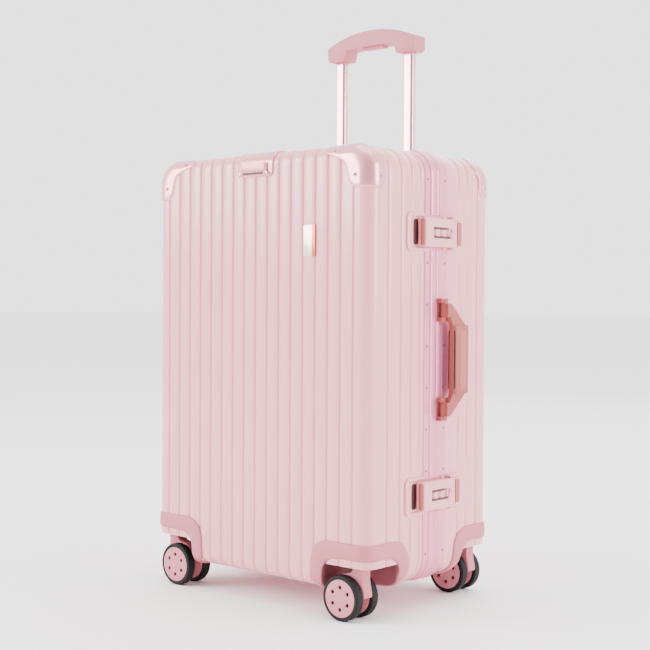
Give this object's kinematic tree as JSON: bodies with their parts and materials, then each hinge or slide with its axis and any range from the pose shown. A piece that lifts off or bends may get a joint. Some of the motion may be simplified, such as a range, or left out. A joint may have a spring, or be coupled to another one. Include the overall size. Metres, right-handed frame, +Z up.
{
  "type": "hard shell suitcase",
  "caption": "Ribbed hard shell frame suitcase standing on four swivelling twin-wheel casters, with key-dial latches, a side carry handle and a telescopic pull handle.",
  "frame": {"origin": "on the ground under the middle of the whole object's box", "axes": "+X towards the latches and the carry handle, -Y towards the front face, +Y towards the telescopic handle, +Z up"},
  "size_m": [0.4377, 0.2776, 0.8235],
  "materials": {
    "shell": "satin moulded shell",
    "frame": "anodised",
    "steel": "rivet steel",
    "guard_metal": "pearl paint",
    "housing": "matte moulded",
    "lining": "woven lining",
    "seal": "soft rubber",
    "tyre": "soft wheel rubber",
    "hub": "moulded hub",
    "dial": "moulded dial",
    "latch": "satin coat",
    "handle": "soft-touch moulded",
    "tube": "anodised tube",
    "grip": "soft-touch moulded",
    "badge": "plated plate"
  },
  "bodies": {
    "rear_half": {"rear_shell": "shell", "rear_frame": "frame", "rear_rivets": "steel", "rear_corner_guards": "guard_metal", "rear_caster_housings": "housing", "rear_hinge_leaves": "frame", "rear_lining": "lining", "frame_seal": "seal", "lock_bases": "latch", "handle_brackets": "handle", "outer_tubes": "tube", "tube_bezel": "grip"},
    "front_half": {"front_shell": "shell", "front_frame": "frame", "front_rivets": "steel", "front_corner_guards": "guard_metal", "front_caster_housings": "housing", "front_hinge_leaves": "frame", "front_lining": "lining", "latch_trays": "latch", "hook_plate": "guard_metal", "badge": "badge"},
    "bag_hook": {"bag_hook": "latch"},
    "carry_handle": {"carry_handle": "handle"},
    "middle_stage": {"middle_tubes": "tube"},
    "upper_stage": {"inner_tubes": "tube", "trolley_grip": "grip"},
    "release_button": {"release_button": "grip"},
    "lock_lever_upper": {"lock_lever_upper": "latch"},
    "lock_dial_upper_1": {"lock_dial_upper_1": "dial"},
    "lock_dial_upper_2": {"lock_dial_upper_2": "dial"},
    "lock_dial_upper_3": {"lock_dial_upper_3": "dial"},
    "lock_slider_upper": {"lock_slider_upper": "dial"},
    "lock_lever_lower": {"lock_lever_lower": "latch"},
    "lock_dial_lower_1": {"lock_dial_lower_1": "dial"},
    "lock_dial_lower_2": {"lock_dial_lower_2": "dial"},
    "lock_dial_lower_3": {"lock_dial_lower_3": "dial"},
    "lock_slider_lower": {"lock_slider_lower": "dial"},
    "caster_front_right": {"caster_fork_front_right": "housing"},
    "wheel_front_right_a": {"tyre_front_right_a": "tyre", "wheel_hub_front_right_a": "hub"},
    "wheel_front_right_b": {"tyre_front_right_b": "tyre", "wheel_hub_front_right_b": "hub"},
    "caster_front_left": {"caster_fork_front_left": "housing"},
    "wheel_front_left_a": {"tyre_front_left_a": "tyre", "wheel_hub_front_left_a": "hub"},
    "wheel_front_left_b": {"tyre_front_left_b": "tyre", "wheel_hub_front_left_b": "hub"},
    "caster_rear_right": {"caster_fork_rear_right": "housing"},
    "wheel_rear_right_a": {"tyre_rear_right_a": "tyre", "wheel_hub_rear_right_a": "hub"},
    "wheel_rear_right_b": {"tyre_rear_right_b": "tyre", "wheel_hub_rear_right_b": "hub"},
    "caster_rear_left": {"caster_fork_rear_left": "housing"},
    "wheel_rear_left_a": {"tyre_rear_left_a": "tyre", "wheel_hub_rear_left_a": "hub"},
    "wheel_rear_left_b": {"tyre_rear_left_b": "tyre", "wheel_hub_rear_left_b": "hub"}
  },
  "joints": [
    {"name": "lid_hinge", "type": "hinge", "parent": "rear_half", "child": "front_half", "pos_m": [-0.21565, 0.00645, 0.3275], "axis": [0, 0, -1], "range_deg": [0, 155]},
    {"name": "bag_hook_hinge", "type": "hinge", "parent": "front_half", "child": "bag_hook", "pos_m": [-0.00615, -0.13725, 0.5885], "axis": [1, 0, 0], "range_deg": [0, 80]},
    {"name": "carry_handle_hinge", "type": "hinge", "parent": "rear_half", "child": "carry_handle", "pos_m": [0.20585, 0.01445, 0.337], "axis": [0, 0, -1], "range_deg": [0, 85]},
    {"name": "middle_stage_slide", "type": "slide", "parent": "rear_half", "child": "middle_stage", "axis": [0, 0, 1], "range_m": [0, 0.2]},
    {"name": "upper_stage_slide", "type": "slide", "parent": "middle_stage", "child": "upper_stage", "axis": [0, 0, 1], "range_m": [-0.158, 0.05]},
    {"name": "release_button_press", "type": "slide", "parent": "upper_stage", "child": "release_button", "axis": [0, 0, 1], "range_m": [0, 0.0035], "stiffness_N_per_m": 500, "springref_m": -0.001},
    {"name": "lock_lever_upper_hinge", "type": "hinge", "parent": "rear_half", "child": "lock_lever_upper", "pos_m": [0.20335, 0.03495, 0.5075], "axis": [0, 0, 1], "range_deg": [0, 90]},
    {"name": "lock_dial_upper_1_spin", "type": "hinge", "parent": "lock_lever_upper", "child": "lock_dial_upper_1", "pos_m": [0.20485, -0.01155, 0.5075], "axis": [0, 1, 0], "continuous": true},
    {"name": "lock_dial_upper_2_spin", "type": "hinge", "parent": "lock_lever_upper", "child": "lock_dial_upper_2", "pos_m": [0.20485, 0.00245, 0.5075], "axis": [0, 1, 0], "continuous": true},
    {"name": "lock_dial_upper_3_spin", "type": "hinge", "parent": "lock_lever_upper", "child": "lock_dial_upper_3", "pos_m": [0.20485, 0.01645, 0.5075], "axis": [0, 1, 0], "continuous": true},
    {"name": "lock_slider_upper_slide", "type": "slide", "parent": "lock_lever_upper", "child": "lock_slider_upper", "axis": [0, 0, 1], "range_m": [0, 0.005], "stiffness_N_per_m": 60, "springref_m": -0.002},
    {"name": "lock_lever_lower_hinge", "type": "hinge", "parent": "rear_half", "child": "lock_lever_lower", "pos_m": [0.20335, 0.03495, 0.1565], "axis": [0, 0, 1], "range_deg": [0, 90]},
    {"name": "lock_dial_lower_1_spin", "type": "hinge", "parent": "lock_lever_lower", "child": "lock_dial_lower_1", "pos_m": [0.20485, -0.01155, 0.1565], "axis": [0, 1, 0], "continuous": true},
    {"name": "lock_dial_lower_2_spin", "type": "hinge", "parent": "lock_lever_lower", "child": "lock_dial_lower_2", "pos_m": [0.20485, 0.00245, 0.1565], "axis": [0, 1, 0], "continuous": true},
    {"name": "lock_dial_lower_3_spin", "type": "hinge", "parent": "lock_lever_lower", "child": "lock_dial_lower_3", "pos_m": [0.20485, 0.01645, 0.1565], "axis": [0, 1, 0], "continuous": true},
    {"name": "lock_slider_lower_slide", "type": "slide", "parent": "lock_lever_lower", "child": "lock_slider_lower", "axis": [0, 0, 1], "range_m": [0, 0.005], "stiffness_N_per_m": 60, "springref_m": -0.002},
    {"name": "caster_front_right_swivel", "type": "hinge", "parent": "front_half", "child": "caster_front_right", "pos_m": [0.17185, -0.11375, 0.08], "axis": [0, 0, 1], "continuous": true},
    {"name": "wheel_front_right_a_spin", "type": "hinge", "parent": "caster_front_right", "child": "wheel_front_right_a", "pos_m": [0.15285, -0.11375, 0.03], "axis": [0, 1, 0], "continuous": true},
    {"name": "wheel_front_right_b_spin", "type": "hinge", "parent": "caster_front_right", "child": "wheel_front_right_b", "pos_m": [0.15285, -0.11375, 0.03], "axis": [0, 1, 0], "continuous": true},
    {"name": "caster_front_left_swivel", "type": "hinge", "parent": "front_half", "child": "caster_front_left", "pos_m": [-0.18415, -0.11375, 0.08], "axis": [0, 0, 1], "continuous": true},
    {"name": "wheel_front_left_a_spin", "type": "hinge", "parent": "caster_front_left", "child": "wheel_front_left_a", "pos_m": [-0.16515, -0.11375, 0.03], "axis": [0, 1, 0], "continuous": true},
    {"name": "wheel_front_left_b_spin", "type": "hinge", "parent": "caster_front_left", "child": "wheel_front_left_b", "pos_m": [-0.16515, -0.11375, 0.03], "axis": [0, 1, 0], "continuous": true},
    {"name": "caster_rear_right_swivel", "type": "hinge", "parent": "rear_half", "child": "caster_rear_right", "pos_m": [0.17185, 0.11665, 0.08], "axis": [0, 0, 1], "continuous": true},
    {"name": "wheel_rear_right_a_spin", "type": "hinge", "parent": "caster_rear_right", "child": "wheel_rear_right_a", "pos_m": [0.15285, 0.11665, 0.03], "axis": [0, 1, 0], "continuous": true},
    {"name": "wheel_rear_right_b_spin", "type": "hinge", "parent": "caster_rear_right", "child": "wheel_rear_right_b", "pos_m": [0.15285, 0.11665, 0.03], "axis": [0, 1, 0], "continuous": true},
    {"name": "caster_rear_left_swivel", "type": "hinge", "parent": "rear_half", "child": "caster_rear_left", "pos_m": [-0.18415, 0.11665, 0.08], "axis": [0, 0, 1], "continuous": true},
    {"name": "wheel_rear_left_a_spin", "type": "hinge", "parent": "caster_rear_left", "child": "wheel_rear_left_a", "pos_m": [-0.16515, 0.11665, 0.03], "axis": [0, 1, 0], "continuous": true},
    {"name": "wheel_rear_left_b_spin", "type": "hinge", "parent": "caster_rear_left", "child": "wheel_rear_left_b", "pos_m": [-0.16515, 0.11665, 0.03], "axis": [0, 1, 0], "continuous": true}
  ]
}
